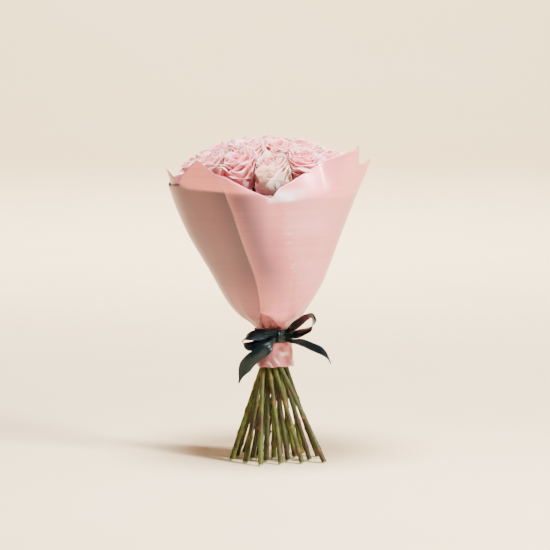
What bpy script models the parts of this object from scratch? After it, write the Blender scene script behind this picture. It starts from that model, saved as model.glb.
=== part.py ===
"""A hand-tied bunch of twenty pink roses, in two sheets of pearl wrap with a dark satin bow.

The stems are straight and spiral round one line, so they cross at a narrow waist, where they are bound,
and splay into a wide foot. The bunch stands on their cut ends. +Z is up, the front is towards -Y, and the
origin is on the floor, under the middle of the bunch.
"""

import math
import random

import bmesh
import bpy
import numpy as np
from mathutils import Vector

# Driving dimensions, in metres
ROSES = 20
CROWN_Z = 0.486
WAIST_Z = 0.176
BAND_Z = 0.189
BEND_Z = 0.310
COLLAR_Z = 0.143
STEM_RADIUS = 0.0033
BLOOM_HEIGHT = 0.054
# The blooms push each other this far apart to each side, and their middles stay inside this radius
BLOOM_REACH = 0.0236
HEAD_RADIUS = 0.0955
SHEET = 0.0007
RIBBON_WIDTH = 0.020
RIBBON_THICKNESS = 0.0009
CLEAR = 0.0003

# Each stem leans sideways by this much, for every metre up and every metre out from the middle
SPIRAL = 26.0
# The whole bunch leans a little to its left as it rises
LEAN = -0.040
# The crowns fall away from the middle by the square of the distance over this length
DOME = 0.57
# The outermost bloom nods outwards by this much more than its stem leans
NOD = math.radians(8)

STEM_SIDES = 8
CALYX_SIDES = 10
PETAL_COLUMNS = 20

WAIST_SEED = 9
# Where round the bunch the packing of the stems starts
WAIST_TURN = math.radians(15)
rng = random.Random(20)

# Colour as sRGB, and roughness
FINISHES = {
    "petal": ((0.95, 0.78, 0.78), 0.55),
    "green stem": ((0.38, 0.43, 0.18), 0.50),
    "pearl sheet": ((0.88, 0.69, 0.66), 0.35),
    "satin": ((0.06, 0.09, 0.10), 0.30),
    "twine": ((0.74, 0.62, 0.42), 0.80),
}


def material(name):
    """The Principled material of that name, made once."""
    found = bpy.data.materials.get(name)
    if found:
        return found
    colour, roughness = FINISHES[name]
    made = bpy.data.materials.new(name)
    made.use_nodes = True
    shader = made.node_tree.nodes["Principled BSDF"]
    shader.inputs["Base Color"].default_value = (*[c**2.2 for c in colour], 1)
    shader.inputs["Roughness"].default_value = roughness
    shader.inputs["Metallic"].default_value = 0
    return made


# Closed meshes


def new_object(name, points, faces, finish):
    """A mesh object of those points and faces, with its faces turned outwards."""
    mesh = bpy.data.meshes.new(name)
    mesh.from_pydata([tuple(p) for p in points], [], faces)
    shape = bmesh.new()
    shape.from_mesh(mesh)
    bmesh.ops.recalc_face_normals(shape, faces=shape.faces)
    shape.to_mesh(mesh)
    shape.free()
    mesh.materials.append(material(finish))
    made = bpy.data.objects.new(name, mesh)
    bpy.context.scene.collection.objects.link(made)
    return made


def stitched(low, high):
    """Triangles between two rings of (angle, index), sorted by angle, with any number of points in each."""

    def angle_at(ring, k):
        return ring[k % len(ring)][0] + math.tau * (k // len(ring))

    faces = []
    i = j = 0
    while i < len(low) or j < len(high):
        here, above = low[i % len(low)][1], high[j % len(high)][1]
        low_is_next = angle_at(low, i + 1) <= angle_at(high, j + 1)
        if j == len(high) or (i < len(low) and low_is_next):
            faces.append((here, low[(i + 1) % len(low)][1], above))
            i += 1
        else:
            faces.append((here, high[(j + 1) % len(high)][1], above))
            j += 1
    return faces


def lofted(name, rings, finish, apex=None):
    """A closed solid through rings of (angle, point), which ends in a flat cap or in the apex."""
    points, numbered = [], []
    for ring in rings:
        ring = sorted((angle % math.tau, tuple(point)) for angle, point in ring)
        numbered.append([(angle, len(points) + k) for k, (angle, _) in enumerate(ring)])
        points += [point for _, point in ring]
    faces = [tuple(index for _, index in reversed(numbered[0]))]
    for low, high in zip(numbered, numbered[1:]):
        faces += stitched(low, high)
    last = [index for _, index in numbered[-1]]
    if apex is None:
        faces.append(tuple(last))
    else:
        points.append(tuple(apex))
        faces += [(a, b, len(points) - 1) for a, b in zip(last, last[1:] + last[:1])]
    return new_object(name, points, faces, finish)


def across(axis):
    """Two unit vectors square to the axis and to each other."""
    side = axis.cross(Vector((0, 1, 0))).normalized()
    return side, axis.cross(side)


def ring_at(centre, axis, radii, rises=None, turn=0.0):
    """Evenly spaced points round the axis at the given radii, each moved along the axis by its rise."""
    side, other = across(axis)
    ring = []
    for k, (radius, rise) in enumerate(zip(radii, rises or [0.0] * len(radii))):
        angle = math.tau * k / len(radii) + turn
        spoke = math.cos(angle) * side + math.sin(angle) * other
        ring.append((angle, centre + radius * spoke + rise * axis))
    return ring


def turned_ring(name, section, z, sides, finish):
    """A ring of that closed section of (radius, height), round the bunch's own line at height z."""
    points, faces = [], []
    for k in range(sides):
        angle = math.tau * k / sides
        for radius, lift in section:
            height = z + lift
            points.append((radius * math.cos(angle) + LEAN * height, radius * math.sin(angle), height))
    many = len(section)
    for k in range(sides):
        after = (k + 1) % sides
        for p in range(many):
            q = (p + 1) % many
            faces.append((k * many + p, after * many + p, after * many + q, k * many + q))
    return new_object(name, points, faces, finish)


# Where the stems run


def spread(z):
    """How many times wider the bunch of straight stems is at height z than at its waist."""
    return math.hypot(1.0, SPIRAL * (z - WAIST_Z))


def on_stem(waist_point, z):
    """The point of a stem's centre line at height z, from where that stem passes the waist."""
    x, y = waist_point
    turn = SPIRAL * (z - WAIST_Z)
    return Vector((x + turn * y + LEAN * z, y - turn * x, z))


def packed_waist(radii):
    """Where each stem passes the waist: a sunflower spread, drawn in till the stems nearly touch."""
    golden, first_step = math.pi * (3 - math.sqrt(5)), 0.0045
    numbers = np.arange(ROSES)
    angles = golden * numbers + WAIST_TURN
    turns = np.stack([np.cos(angles), np.sin(angles)], 1)
    points = first_step * np.sqrt(numbers + 0.5)[:, None] * turns
    sizes = np.add.outer(radii, radii) + CLEAR
    shaking = np.random.default_rng(WAIST_SEED)
    rounds, calm_after, pull, shake = 1500, 1275, 0.012, 0.0005
    for step in range(rounds):
        lively = max(0.0, 1 - step / calm_after)
        points = points * (1 - pull * lively) + shaking.normal(0, 1, points.shape) * shake * lively
        ways = points[:, None] - points[None, :]
        far = np.linalg.norm(ways, axis=2) + np.eye(ROSES)
        # Two stems cross at a slant, which grows with the distance of the line through both from the middle
        crossed = np.outer(points[:, 0], points[:, 1]) - np.outer(points[:, 1], points[:, 0])
        slant = (SPIRAL * crossed + LEAN * ways[:, :, 0]) / far
        short = np.maximum(0.0, sizes * np.hypot(1.0, slant) - far) * (1 - np.eye(ROSES))
        points = points + 0.5 * (ways / far[:, :, None] * short[:, :, None]).sum(axis=1)
    return points.tolist()


def facing(rose, widest):
    """The bloom's axis: its stem's way above the bend, nodding outwards the more the further out it is."""
    straight = (rose["base"] - rose["bend"]).normalized()
    outward = Vector((rose["base"].x - LEAN * rose["base"].z, rose["base"].y, 0.0)).normalized()
    return (straight + math.tan(NOD) * math.hypot(*rose["waist"]) / widest * outward).normalized()


def lip(rose):
    """The middle of the bloom where it is widest."""
    return rose["base"] + 0.66 * rose["height"] * rose["axis"]


def planned_roses():
    """Each rose's stem, and its bloom's place, axis, height and reach. Blooms push apart inside a ring."""
    radii = [STEM_RADIUS * rng.uniform(0.94, 1.06) for _ in range(ROSES)]
    waist = packed_waist(radii)
    widest = max(math.hypot(*point) for point in waist)
    roses = []
    for radius, point in zip(radii, waist):
        height = BLOOM_HEIGHT * rng.uniform(0.95, 1.03)
        out = math.hypot(*point) * spread(CROWN_Z - 0.04)
        base_z = CROWN_Z - height - out**2 / DOME + rng.uniform(-0.003, 0.003)
        roses.append({
            "radius": radius, "waist": point, "bend": on_stem(point, BEND_Z), "base": on_stem(point, base_z),
            "height": height, "open": rng.uniform(0.0, 1.0), "turn": rng.uniform(0, math.tau),
            "node_z": rng.uniform(0.035, 0.115),
        })
    rounds, firmness = 400, 0.3
    for _ in range(rounds):
        for rose in roses:
            rose["axis"] = facing(rose, widest)
        for rose in roses:
            push = Vector((0.0, 0.0, 0.0))
            for other in roses:
                way = lip(rose) - lip(other)
                short = 2 * (BLOOM_REACH + CLEAR) - way.length
                if other is not rose and short > 0:
                    push += firmness * short * way.normalized()
            outward = Vector((lip(rose).x - LEAN * lip(rose).z, lip(rose).y, 0.0))
            if outward.length > HEAD_RADIUS:
                push += firmness * (HEAD_RADIUS / outward.length - 1) * outward
            rose["push"] = Vector((push.x, push.y, 0.0))
        for rose in roses:
            rose["base"] += rose["push"]
    for rose in roses:
        apart = min((lip(rose) - lip(other)).length for other in roses if other is not rose)
        rose["reach"] = apart / 2 - CLEAR
    return roses


def sheaf_radius(roses, z):
    """The radius of the whole sheaf of stems at height z."""
    steep = 1.07
    return max(math.hypot(*rose["waist"]) * spread(z) + steep * rose["radius"] for rose in roses)


# The roses


def petal_ring(rose, petals, columns, reach, rise, overlap, dip, phase):
    """A ring of petal edges. Each petal's first side stands outside the one before it."""
    side, other = across(rose["axis"])
    each = columns // petals
    ring = []
    for petal in range(petals):
        for column in range(each):
            share = 0.03 + 0.94 * column / (each - 1)
            angle = rose["turn"] + phase + math.tau * (petal + share) / petals
            radius = rose["reach"] * reach * (1 + overlap * (0.5 - share))
            lift = rose["height"] * rise * (1 - dip * (2 * share - 1) ** 2)
            spoke = math.cos(angle) * side + math.sin(angle) * other
            ring.append((angle, rose["base"] + radius * spoke + lift * rose["axis"]))
    return ring


def bloom(name, rose):
    """A rose bloom: four layers of lapped petals, raised round one heart and parted by deep furrows."""
    opened = rose["open"]
    half = PETAL_COLUMNS // 2
    outer_rise = 0.80 - 0.12 * opened
    inner_reach = 0.66 + 0.06 * opened
    inner_turn = math.pi / 5
    seat_radius = 0.005
    rings = [
        ring_at(rose["base"], rose["axis"], [seat_radius] * half),
        petal_ring(rose, 5, PETAL_COLUMNS, 0.62, 0.15, 0.05, 0.00, 0.0),
        petal_ring(rose, 5, PETAL_COLUMNS, 0.88, 0.44, 0.12, 0.00, 0.0),
        petal_ring(rose, 5, PETAL_COLUMNS, 0.93, outer_rise, 0.14, 0.16, 0.0),
        petal_ring(rose, 5, PETAL_COLUMNS, 0.76, 0.56, 0.10, 0.00, 0.0),
        petal_ring(rose, 5, PETAL_COLUMNS, inner_reach, 0.91, 0.20, 0.12, inner_turn),
        petal_ring(rose, 5, PETAL_COLUMNS, inner_reach - 0.18, 0.70, 0.16, 0.00, inner_turn),
        petal_ring(rose, 3, 15, inner_reach - 0.24, 1.00, 0.30, 0.07, 0.0),
        petal_ring(rose, 2, half, 0.24, 0.80, 0.20, 0.00, 0.8),
        petal_ring(rose, 2, half, 0.17, 0.97, 0.50, 0.03, 0.8),
    ]
    heart = rose["base"] + 0.84 * rose["height"] * rose["axis"]
    return lofted(name, rings, "petal", heart)


def stem(name, rose):
    """A cut stem with a leaf scar, which swells at its top into the hip and its five sepals."""
    radius, axis = rose["radius"], rose["axis"]
    straight = (rose["bend"] - on_stem(rose["waist"], 0.0)).normalized()
    above = (rose["base"] - rose["bend"]).normalized()
    low = ring_at(on_stem(rose["waist"], 0.0), straight, [radius] * STEM_SIDES)
    rings = [[(angle, point - straight * (point.z / straight.z)) for angle, point in low]]
    scar_swell, scar_length = 1.28, 0.006
    for lift, wide in ((-scar_length, 1.0), (0.0, scar_swell), (scar_length, 0.97)):
        centre = on_stem(rose["waist"], rose["node_z"] + lift)
        rings.append(ring_at(centre, straight, [radius * wide] * STEM_SIDES))
    rings.append(ring_at(rose["bend"], (straight + above).normalized(), [0.88 * radius] * STEM_SIDES))
    hip_length, hip_radius, neck_drop = 0.009, 0.0052, 0.022
    rings.append(ring_at(rose["base"] - neck_drop * above, above, [0.75 * radius] * STEM_SIDES))
    for drop, wide in ((hip_length, 0.65), (0.5 * hip_length, 1.0)):
        rings.append(ring_at(rose["base"] - drop * axis, axis, [wide * hip_radius] * CALYX_SIDES))
    sepal_length, sepal_droop, sepal_drop, seat_radius = 0.015, -0.005, 0.0016, 0.0048
    radii = [sepal_length, hip_radius] * (CALYX_SIDES // 2)
    lifts = [sepal_droop, 0.0] * (CALYX_SIDES // 2)
    rings.append(ring_at(rose["base"] - sepal_drop * axis, axis, radii, lifts, rose["turn"]))
    rings.append(ring_at(rose["base"] - CLEAR * axis, axis, [seat_radius] * CALYX_SIDES, None, rose["turn"]))
    return lofted(name, rings, "green stem")


# The layers round the waist, from the sheaf outwards

TIE_THICKNESS, TIE_HALF = 0.0012, 0.0030
LAYER_GAP = 0.0005
BAND_THICKNESS, BAND_HALF = 0.0011, 0.0092
# From the inner sheet's middle to the outer sheet's, and from one end of the outer sheet out to the other
SHEET_STEP, LAP_STEP = 0.0016, 0.0012


def tie(roses):
    """The twine that binds the stems at their waist, under the wrap."""
    inner = sheaf_radius(roses, WAIST_Z) + LAYER_GAP
    outer = inner + TIE_THICKNESS
    section = [(inner, -TIE_HALF), (outer, -TIE_HALF), (outer, TIE_HALF), (inner, TIE_HALF)]
    return turned_ring("binding_tie", section, WAIST_Z, 20, "twine")


def wrapped_radius(roses, z):
    """The radius of the outer sheet's inner end where both sheets lie close on the stems at height z."""
    return sheaf_radius(roses, z) + LAYER_GAP + SHEET / 2 + SHEET_STEP


def neck_radius(roses):
    """The radius of the outer sheet's inner end under the ribbon."""
    return wrapped_radius(roses, NECK_TOP)


# The wrap

# Radius against height above the neck: a full shoulder, then a nearly straight cone
SHOULDER = [
    (0.208, 0.034), (0.218, 0.046), (0.231, 0.057), (0.258, 0.074), (0.292, 0.090), (0.347, 0.1155),
    (0.396, 0.1355), (0.445, 0.1525), (0.490, 0.164),
]
# How far the wrap stands left of the bunch's own line
WRAP_SHIFT = [
    (0.201, 0.0), (0.218, -0.0035), (0.273, -0.0030), (0.347, -0.0080), (0.396, -0.0070), (0.445, -0.0030),
]
# Each sheet's top edge: degrees from the front towards the right, and height
OUTER_EDGE = [
    (-180, 0.424), (-140, 0.436), (-110, 0.420), (-86, 0.414), (-58, 0.421), (-55, 0.433), (-39, 0.462),
    (-29, 0.441), (-22, 0.437), (-8, 0.419), (5, 0.406), (10, 0.421), (19, 0.432), (29, 0.445), (39, 0.455),
    (50, 0.467), (60, 0.481), (66, 0.452), (74, 0.448), (84, 0.456), (92, 0.446), (120, 0.430), (150, 0.440),
    (180, 0.424),
]
INNER_EDGE = [
    (-180, 0.418), (-130, 0.428), (-105, 0.424), (-81, 0.445), (-56, 0.431), (-23, 0.420), (5, 0.403),
    (70, 0.400), (110, 0.415), (150, 0.408), (180, 0.418),
]
LAP_START, LAP = -20, 14
WIDEST_STATION = 12
# Between these heights the sheets are drawn in to a plain tube
NECK_BOTTOM, NECK_TOP = 0.178, 0.201


def between(table, place):
    """The value at this place in a table of (place, value) rows, on straight lines."""
    return float(np.interp(place, [row[0] for row in table], [row[1] for row in table]))


def stations(first, last):
    """The angles of a sheet's columns: every corner of both edges, and more where those are far apart."""
    corners = {first, last}
    for degrees, _ in OUTER_EDGE + INNER_EDGE:
        corners |= {d for d in (degrees, degrees + 360) if first < d < last}
    corners = sorted(corners)
    angles = [corners[0]]
    for before, after in zip(corners, corners[1:]):
        steps = math.ceil((after - before) / WIDEST_STATION)
        angles += [before + (after - before) * (k + 1) / steps for k in range(steps)]
    return angles


def gathers(angle, z):
    """How far the gathered wrap stands in or out at its shoulder, as a share of its radius."""
    highest, reach = 0.228, 0.11
    fade = max(0.0, 1 - abs(z - highest) / reach) if z > NECK_TOP else 0.0
    return fade * (0.045 * math.sin(7 * angle + 0.6) + 0.02 * math.sin(4 * angle))


def wrap_sheet(name, roses, edge, first, last, offset):
    """A sheet round the bunch from one angle to another, its middle that far outside the wrap's radius."""
    neck = neck_radius(roses)
    collar_top, lowest_flare = 0.164, 0.240
    profile = [
        (COLLAR_Z, wrapped_radius(roses, COLLAR_Z)), (collar_top, neck), (NECK_BOTTOM, neck),
        (NECK_TOP, neck), *SHOULDER,
    ]
    low_rows = [COLLAR_Z, collar_top, NECK_BOTTOM, NECK_TOP, 0.208, 0.218, lowest_flare]
    high_shares = [0.33, 0.66, 1.0]
    angles = stations(first, last)
    closed = last - first == 360
    grid = []
    for degrees in angles[:-1] if closed else angles:
        angle = math.radians(degrees)
        top = between(edge, (degrees + 180) % 360 - 180)
        share = (degrees - first) / (last - first)
        column = []
        for z in low_rows + [lowest_flare + (top - lowest_flare) * up for up in high_shares]:
            radius = between(profile, z) * (1 + gathers(angle, z)) + offset(share, z)
            middle = LEAN * z + between(WRAP_SHIFT, z)
            column.append((radius * math.sin(angle) + middle, -radius * math.cos(angle), z))
        grid.append(column)
    rows, count = len(grid[0]), len(grid)
    faces = []
    for k in range(count if closed else count - 1):
        after = (k + 1) % count
        for row in range(rows - 1):
            a, b = k * rows + row, after * rows + row
            faces += [(a, b, b + 1), (a, b + 1, a + 1)]
    sheet = new_object(name, [p for column in grid for p in column], faces, "pearl sheet")
    thicken = sheet.modifiers.new("Sheet", "SOLIDIFY")
    thicken.thickness = SHEET
    thicken.offset = 0
    return sheet


def looseness(z):
    """0 where the ribbon holds the sheets, and 1 where they stand free."""
    return min(1.0, max(0.0, (z - NECK_TOP) / 0.03))


def outer_wrap(roses):
    """The outer sheet: it goes once round and laps over its own end at the front left."""

    def offset(share, z):
        loose_lap = 0.0030
        return (LAP_STEP + (loose_lap - LAP_STEP) * looseness(z)) * (1 - share)
    return wrap_sheet("wrap_outer", roses, OUTER_EDGE, LAP_START, LAP_START + 360 + LAP, offset)


def inner_wrap(roses):
    """The inner sheet, closed round the stems inside the outer one."""

    def offset(share, z):
        loose_step = 0.0034
        return -SHEET_STEP - (loose_step - SHEET_STEP) * looseness(z)
    return wrap_sheet("wrap_inner", roses, INNER_EDGE, -180, 180, offset)


# The ribbon

KNOT_ANGLE = math.radians(18)
KNOT_HALF = (0.0060, 0.0046, 0.0088)
KNOT_LIFT = 0.0025


def ribbon_band(roses):
    """The ribbon round the neck."""
    inner = neck_radius(roses) + LAP_STEP + SHEET / 2 + LAYER_GAP
    outer = inner + BAND_THICKNESS
    crown = outer + 0.3 * BAND_THICKNESS
    shoulder = 0.8 * BAND_HALF
    section = [(inner, -BAND_HALF), (outer, -shoulder), (crown, 0), (outer, shoulder), (inner, BAND_HALF)]
    turned_ring("ribbon_band", section, BAND_Z, 24, "satin")
    return crown


def knot_frame(band_radius):
    """The knot's middle, and the ways to its right, outwards and up."""
    right = np.array([math.cos(KNOT_ANGLE), math.sin(KNOT_ANGLE), 0.0])
    outwards = np.array([math.sin(KNOT_ANGLE), -math.cos(KNOT_ANGLE), 0.0])
    z = BAND_Z + KNOT_LIFT
    middle = np.array([LEAN * z, 0.0, z]) + (band_radius + CLEAR + KNOT_HALF[1]) * outwards
    return middle, right, outwards, np.array([0.0, 0.0, 1.0])


def ribbon_knot(frame):
    """The knot: a wad with its edges bevelled off, on the front of the band."""
    middle, right, outwards, up = frame
    shape = bmesh.new()
    bmesh.ops.create_cube(shape, size=2.0)
    for vertex in shape.verts:
        x, y, z = (share * half for share, half in zip(vertex.co, KNOT_HALF))
        vertex.co = Vector(middle + x * right - y * outwards + z * up)
    shape.normal_update()
    bevel = 0.0022
    bmesh.ops.bevel(shape, geom=shape.edges[:] + shape.verts[:], offset=bevel, segments=2, affect="EDGES",
                    profile=0.5, clamp_overlap=True)
    bmesh.ops.triangulate(shape, faces=shape.faces)
    mesh = bpy.data.meshes.new("ribbon_knot")
    shape.to_mesh(mesh)
    shape.free()
    mesh.materials.append(material("satin"))
    bpy.context.scene.collection.objects.link(bpy.data.objects.new("ribbon_knot", mesh))


def curve_through(knots, values, places):
    """Values on a smooth curve through the given ones, which stand at the knots."""
    values = np.array(values, float)
    slopes = np.gradient(values, knots, axis=0)
    made = []
    for place in places:
        i = min(int(np.searchsorted(knots, place, side="right")) - 1, len(knots) - 2)
        wide = knots[i + 1] - knots[i]
        t = (place - knots[i]) / wide
        start = (2 * t**3 - 3 * t**2 + 1) * values[i] + (t**3 - 2 * t**2 + t) * wide * slopes[i]
        finish = (3 * t**2 - 2 * t**3) * values[i + 1] + (t**3 - t**2) * wide * slopes[i + 1]
        made.append(start + finish)
    return made


def strip(name, middles, ways, width_at, count):
    """A flat ribbon along a curve through the middles. Its width runs the way given for each of them."""
    runs = [np.linalg.norm(after - before) for before, after in zip(middles, middles[1:])]
    knots = np.concatenate([[0.0], np.cumsum(runs)])
    places = [knots[-1] * k / (count - 1) for k in range(count)]
    path = curve_through(knots, middles, places)
    sides = curve_through(knots, ways, places)
    aheads = [after - before for before, after in zip(path, path[2:])]
    aheads = [middles[1] - middles[0], *aheads, middles[-1] - middles[-2]]
    points = []
    for far, place, side, ahead in zip(places, path, sides, aheads):
        ahead = ahead / np.linalg.norm(ahead)
        side = side - side.dot(ahead) * ahead
        side = side / np.linalg.norm(side) * width_at(far, knots[-1]) / 2
        flat = np.cross(ahead, side)
        flat = flat / np.linalg.norm(flat) * RIBBON_THICKNESS / 2
        points += [place - side - flat, place + side - flat, place + side + flat, place - side + flat]
    faces = [(3, 2, 1, 0)]
    for k in range(count - 1):
        a = 4 * k
        for p in range(4):
            q = (p + 1) % 4
            faces += [(a + p, a + q, a + 4 + q), (a + p, a + 4 + q, a + 4 + p)]
    a = 4 * (count - 1)
    faces.append((a, a + 1, a + 2, a + 3))
    return new_object(name, points, faces, "satin")


# Each piece of the bow leaves the knot at a height on its side and runs through (place, way its width
# runs) rows, in metres from the knot's middle. A loop comes back to the knot at a second height.

HIGH, MIDWAY, LOW = 0.0063, 0.0, -0.0063
LOOP_LEFT = [
    ((-0.018, -0.0090, 0.0040), (0.0, -0.1, 1.0)),
    ((-0.036, -0.0120, -0.0005), (-0.1, -0.2, 1.0)),
    ((-0.050, -0.0100, -0.0045), (-0.2, -0.3, 1.0)),
    ((-0.0565, -0.0030, -0.0090), (-0.2, -0.3, 1.0)),
    ((-0.047, 0.0020, -0.0115), (-0.1, -0.2, 1.0)),
    ((-0.026, -0.0010, -0.0070), (0.0, -0.1, 1.0)),
]
LOOP_RIGHT = [
    ((0.015, -0.0050, 0.0110), (-0.30, 0.50, 0.85)),
    ((0.027, -0.0110, 0.0200), (-0.35, 0.80, 0.55)),
    ((0.038, -0.0150, 0.0285), (-0.30, 0.90, 0.45)),
    ((0.0465, -0.0160, 0.0315), (0.1, 1.0, 0.3)),
    ((0.0490, -0.0150, 0.0240), (0.4, 1.0, 0.1)),
    ((0.0465, -0.0120, 0.0155), (0.20, 0.95, 0.30)),
    ((0.036, -0.0090, 0.0090), (0.0, 0.85, 0.55)),
    ((0.022, -0.0050, 0.0030), (-0.1, 0.5, 0.9)),
]
TAIL_LEFT = [
    ((-0.018, -0.0130, -0.0150), (-0.5, 0.0, 1.0)),
    ((-0.033, -0.0170, -0.0255), (-0.6, 0.0, 1.0)),
    ((-0.047, -0.0150, -0.0370), (-0.8, 0.0, 0.8)),
    ((-0.0565, -0.0110, -0.0520), (-0.90, 0.30, 0.45)),
    ((-0.0625, -0.0070, -0.0700), (-0.85, 0.60, 0.25)),
]
TAIL_RIGHT = [
    ((0.018, 0.0010, -0.0080), (0.1, 0.8, 0.7)),
    ((0.032, 0.0010, -0.0112), (0.15, 0.85, 0.50)),
    ((0.047, 0.0010, -0.0168), (0.20, 0.85, 0.55)),
    ((0.060, 0.0, -0.0224), (0.35, 0.85, 0.50)),
    ((0.068, 0.0, -0.0295), (0.5, 0.9, 0.4)),
    ((0.075, 0.0, -0.0417), (0.7, 0.8, 0.2)),
]


def bow(frame):
    """Two loops and two tails, which leave the knot square to its sides."""
    middle, right, outwards, up = frame
    side, straight = KNOT_HALF[0] + CLEAR, 0.004
    pinch = 0.28

    def at_knot(hand, lift):
        return [(middle + hand * (side + far) * right + lift * up, up) for far in (0.0, straight)]

    def opened(far):
        held, opening = 0.008, 0.022
        return pinch + (1 - pinch) * min(1.0, max(0.0, far - held) / opening)

    def loop_width(far, length):
        return 0.92 * RIBBON_WIDTH * opened(min(far, length - far))

    def tail_width(far, length):
        cut_length, cut_share = 0.030, 0.75
        return RIBBON_WIDTH * opened(far) * (1 - cut_share * max(0.0, 1 - (length - far) / cut_length))

    for name, hand, start, route, end, width_at, count in (
        ("ribbon_loop_left", -1, HIGH, LOOP_LEFT, MIDWAY, loop_width, 19),
        ("ribbon_loop_right", 1, HIGH, LOOP_RIGHT, MIDWAY, loop_width, 19),
        ("ribbon_tail_left", -1, LOW, TAIL_LEFT, None, tail_width, 13),
        ("ribbon_tail_right", 1, LOW, TAIL_RIGHT, None, tail_width, 13),
    ):
        rows = at_knot(hand, start) + [(middle + np.array(place), way) for place, way in route]
        if end is not None:
            rows += reversed(at_knot(hand, end))
        strip(name, [row[0] for row in rows], [row[1] for row in rows], width_at, count)


def stand_on_the_origin():
    """Slides everything sideways together, till the middle of its box is over the origin."""
    pieces = [piece for piece in bpy.data.objects if piece.type == "MESH"]
    corners = np.array([vertex.co for piece in pieces for vertex in piece.data.vertices])
    middle = (corners.min(axis=0) + corners.max(axis=0)) / 2
    for piece in pieces:
        for vertex in piece.data.vertices:
            vertex.co -= Vector((middle[0], middle[1], 0.0))


def main():
    for old in list(bpy.data.objects):
        bpy.data.objects.remove(old)
    roses = planned_roses()
    for number, rose in enumerate(roses, 1):
        stem(f"stem_{number:02d}", rose)
        bloom(f"bloom_{number:02d}", rose)
    tie(roses)
    inner_wrap(roses)
    outer_wrap(roses)
    frame = knot_frame(ribbon_band(roses))
    ribbon_knot(frame)
    bow(frame)
    stand_on_the_origin()


main()
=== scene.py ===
"""Dresses a hand-tied bunch of pink roses: petals, stems, pearl wrap, satin bow, light and camera.

Metres, +Z up, the front towards -Y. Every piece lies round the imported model, which gives each rose its
place. Run as a script, it makes everything. Its operators are listed in the 3D view's sidebar.
"""

from math import atan2, pi, tau
from types import SimpleNamespace

import bpy
import numpy as np
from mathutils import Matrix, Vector
from numpy import cos, radians, sin


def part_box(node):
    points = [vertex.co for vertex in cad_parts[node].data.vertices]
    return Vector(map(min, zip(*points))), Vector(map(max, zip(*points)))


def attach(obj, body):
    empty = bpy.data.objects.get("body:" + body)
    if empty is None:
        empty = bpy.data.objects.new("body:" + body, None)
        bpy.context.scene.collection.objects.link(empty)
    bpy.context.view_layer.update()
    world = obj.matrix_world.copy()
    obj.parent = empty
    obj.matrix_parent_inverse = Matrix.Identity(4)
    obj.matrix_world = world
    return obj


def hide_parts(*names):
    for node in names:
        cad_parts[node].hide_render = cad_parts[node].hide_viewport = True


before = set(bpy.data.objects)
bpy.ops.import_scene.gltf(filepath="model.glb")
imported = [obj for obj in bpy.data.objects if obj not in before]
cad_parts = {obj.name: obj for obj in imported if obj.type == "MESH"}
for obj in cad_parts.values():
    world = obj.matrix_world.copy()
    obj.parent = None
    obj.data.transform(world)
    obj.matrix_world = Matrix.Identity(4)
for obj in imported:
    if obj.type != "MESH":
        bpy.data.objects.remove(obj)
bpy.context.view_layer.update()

bl_info = {
    "name": "Tied Rose Bunch",
    "version": (1, 0, 0),
    "blender": (4, 5, 0),
    "location": "3D View > Sidebar > Rose Bunch",
    "description": "Builds a hand-tied bunch of roses in pearl wrap with a satin bow",
    "category": "Object",
}

# The bunch's own line leans left as it rises, and passes through the middle of the ribbon band
LEAN = -0.040
BAND_LOW, BAND_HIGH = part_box("ribbon_band")
BAND_MIDDLE = (BAND_LOW + BAND_HIGH) / 2
BAND_RADIUS = (BAND_HIGH.x - BAND_LOW.x) / 2
LINE_X, LINE_Y = BAND_MIDDLE.x - LEAN * BAND_MIDDLE.z, BAND_MIDDLE.y
# Heights where the stems bend, where the collar ends, and where the ribbon draws the sheets in
BEND_Z = 0.310
COLLAR_Z = 0.143
NECK_BOTTOM, NECK_TOP = 0.178, 0.201


# Colours and nodes


def linear(code):
    """A hex sRGB colour as linear RGBA."""
    parts = [int(code[k:k + 2], 16) / 255 for k in (1, 3, 5)]
    return (*[p / 12.92 if p <= 0.04045 else ((p + 0.055) / 1.055) ** 2.4 for p in parts], 1)


def output(source):
    """The socket that a (node, output) pair names, or a node's first one in use."""
    if isinstance(source, tuple):
        return source[0].outputs[source[1]]
    return next(socket for socket in source.outputs if socket.enabled)


def node(tree, kind, *values, stops=(), **given):
    """Adds a node. A name with a capital is a socket, and any other is a setting. Plain values are for the
    sockets in turn. A socket takes a value, or a node or (node, output) pair to link. Stops are for a
    ramp, in colours or in plain greys."""
    made = tree.nodes.new("ShaderNode" + kind)
    for name, value in given.items():
        if name[0].islower():
            setattr(made, name, value)
    sockets = {name.replace("_", " "): value for name, value in given.items() if name[0].isupper()}
    for name, value in (*enumerate(values), *sockets.items()):
        source = value[0] if isinstance(value, tuple) else value
        if isinstance(source, bpy.types.Node):
            tree.links.new(output(value), made.inputs[name])
        else:
            made.inputs[name].default_value = value
    if stops:
        elements = made.color_ramp.elements
        while len(elements) < len(stops):
            elements.new(0.5)
        for element, (place, colour) in zip(elements, stops):
            element.position = place
            element.color = colour if isinstance(colour, tuple) else (colour, colour, colour, 1)
    return made


def finish(name, **sockets):
    """A material, its node tree and its Principled shader, with those sockets set by name."""
    made = bpy.data.materials.new(name)
    made.use_nodes = True
    shader = made.node_tree.nodes["Principled BSDF"]
    for socket, value in sockets.items():
        shader.inputs[socket.replace("_", " ")].default_value = value
    return made, made.node_tree, shader


# Pieces


def deselect():
    bpy.ops.object.select_all(action="DESELECT")


def select_only(*pieces):
    """Selects these pieces and nothing else, the first of them active."""
    deselect()
    for piece in pieces:
        piece.select_set(True)
    bpy.context.view_layer.objects.active = pieces[0]


def added(name):
    """The object that the last primitive made, under its own name."""
    piece = bpy.context.object
    piece.name = piece.data.name = name
    return piece


def apply_modifiers(piece):
    select_only(piece)
    for modifier in list(piece.modifiers):
        bpy.ops.object.modifier_apply(modifier=modifier.name)


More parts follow.
